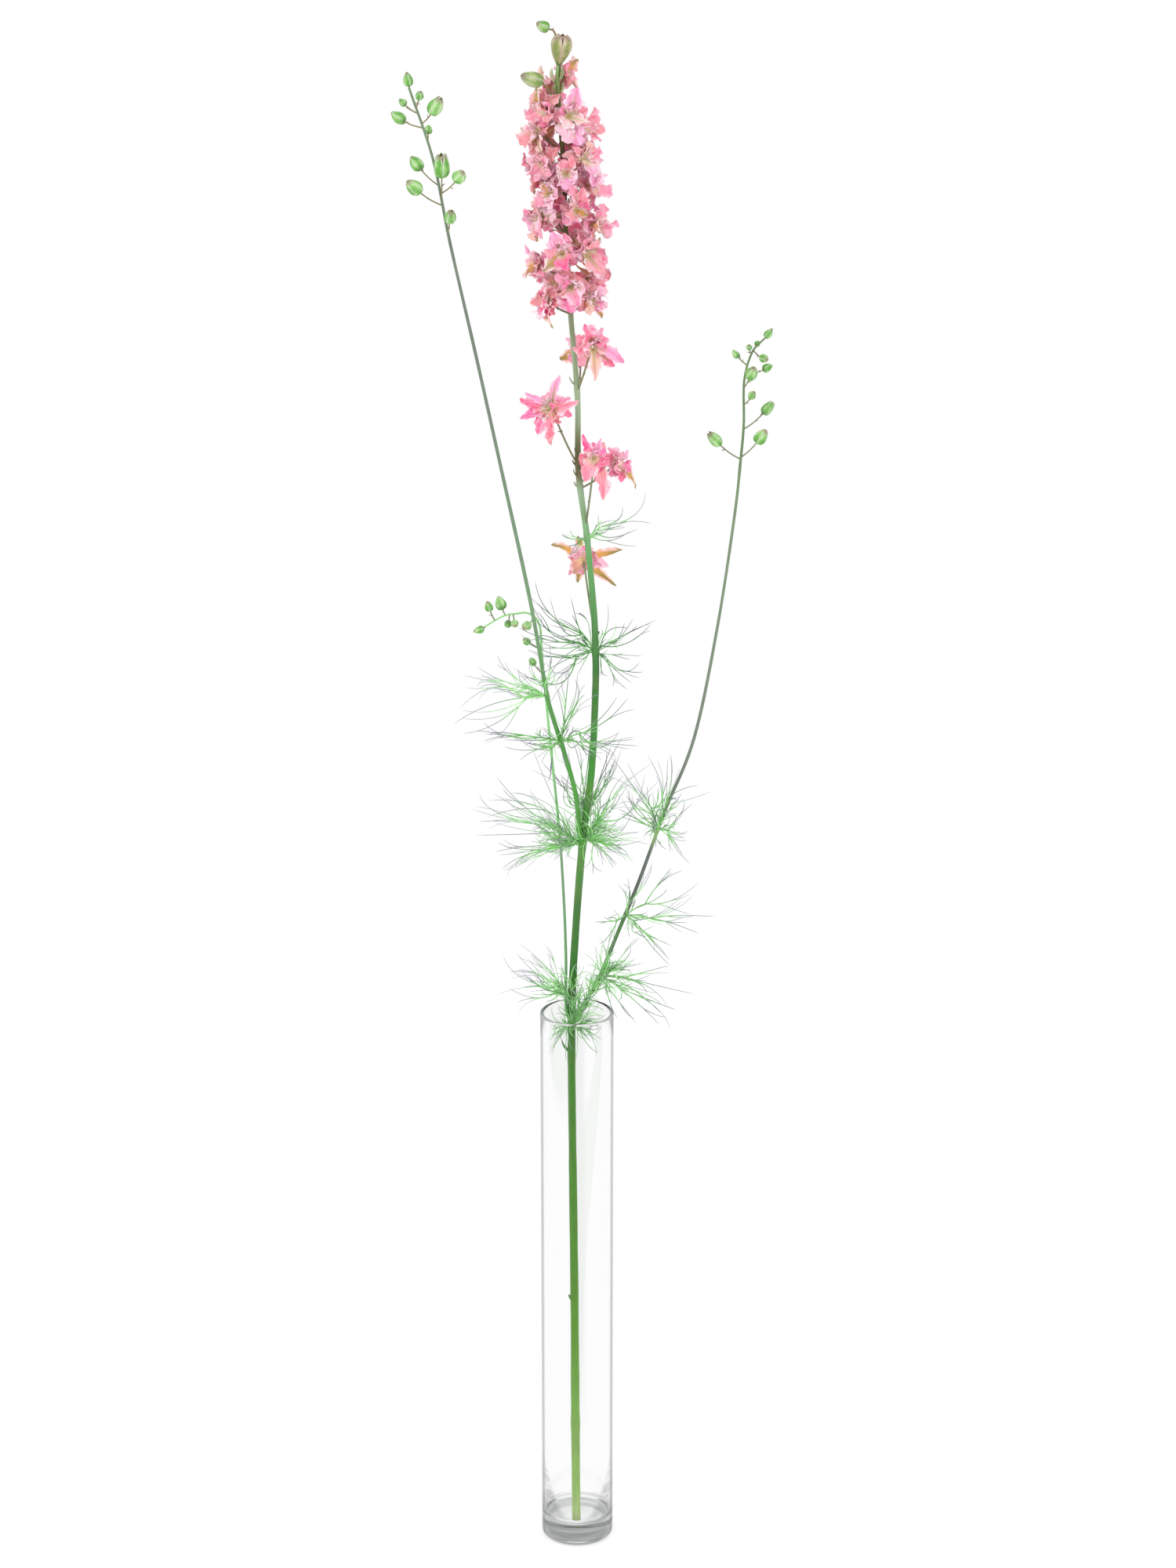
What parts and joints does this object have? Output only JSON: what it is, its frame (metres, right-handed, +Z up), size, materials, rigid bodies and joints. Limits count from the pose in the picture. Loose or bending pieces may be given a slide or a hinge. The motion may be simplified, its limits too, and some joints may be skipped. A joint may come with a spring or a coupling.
{
  "type": "larkspur in vase",
  "caption": "Tall pink larkspur stem with thin budding side branches and thread-like leaves, standing in a narrow clear glass cylinder vase.",
  "frame": {"origin": "centre of the vase's foot, on the surface that it stands on", "axes": "+Z up along the vase and the stem; -Y is the front; +X is the viewer's right"},
  "size_m": [0.1956, 0.0999, 0.8426],
  "materials": {
    "clear_glass": "clear polished glass",
    "stem_green": "matte green stem with fine ribs",
    "leaf_green": "matte green threads with grey-violet tips",
    "bud_green": "matte pale green buds",
    "petal_pink": "thin crumpled pink sepals with olive backs"
  },
  "bodies": {
    "root": {"back_branch": "stem_green", "back_bud_spray": "bud_green", "leaf_fork_left": "leaf_green", "leaf_fork_rear": "leaf_green", "leaf_fork_right": "leaf_green", "leaf_in_mouth": "leaf_green", "leaf_left_high": "leaf_green", "leaf_left_low": "leaf_green", "leaf_main_middle": "leaf_green", "leaf_main_upper": "leaf_green", "leaf_over_rim": "leaf_green", "leaf_right_high": "leaf_green", "leaf_right_low": "leaf_green", "leaf_rim_left": "leaf_green", "left_branch": "stem_green", "left_bud_spray": "bud_green", "lower_floret_1": "petal_pink", "lower_floret_2": "petal_pink", "lower_floret_3": "petal_pink", "lower_floret_4": "petal_pink", "lower_floret_5": "petal_pink", "lower_floret_6": "petal_pink", "main_stem": "stem_green", "right_branch": "stem_green", "right_bud_spray": "bud_green", "spike_floret_01": "petal_pink", "spike_floret_02": "petal_pink", "spike_floret_03": "petal_pink", "spike_floret_04": "petal_pink", "spike_floret_05": "petal_pink", "spike_floret_06": "petal_pink", "spike_floret_07": "petal_pink", "spike_floret_08": "petal_pink", "spike_floret_09": "petal_pink", "spike_floret_10": "petal_pink", "spike_floret_11": "petal_pink", "spike_floret_12": "petal_pink", "spike_floret_13": "petal_pink", "spike_floret_14": "petal_pink", "spike_floret_15": "petal_pink", "spike_floret_16": "petal_pink", "spike_floret_17": "petal_pink", "spike_floret_18": "petal_pink", "spike_floret_19": "petal_pink", "spike_floret_20": "petal_pink", "spike_floret_21": "petal_pink", "spike_floret_22": "petal_pink", "spike_floret_23": "petal_pink", "spike_floret_24": "petal_pink", "spike_floret_25": "petal_pink", "spike_floret_26": "petal_pink", "spike_floret_27": "petal_pink", "spike_floret_28": "petal_pink", "spike_floret_29": "petal_pink", "spike_floret_30": "petal_pink", "top_bud_open": "bud_green", "top_bud_side": "bud_green", "top_bud_small": "bud_green", "vase": "clear_glass"}
  },
  "joints": []
}
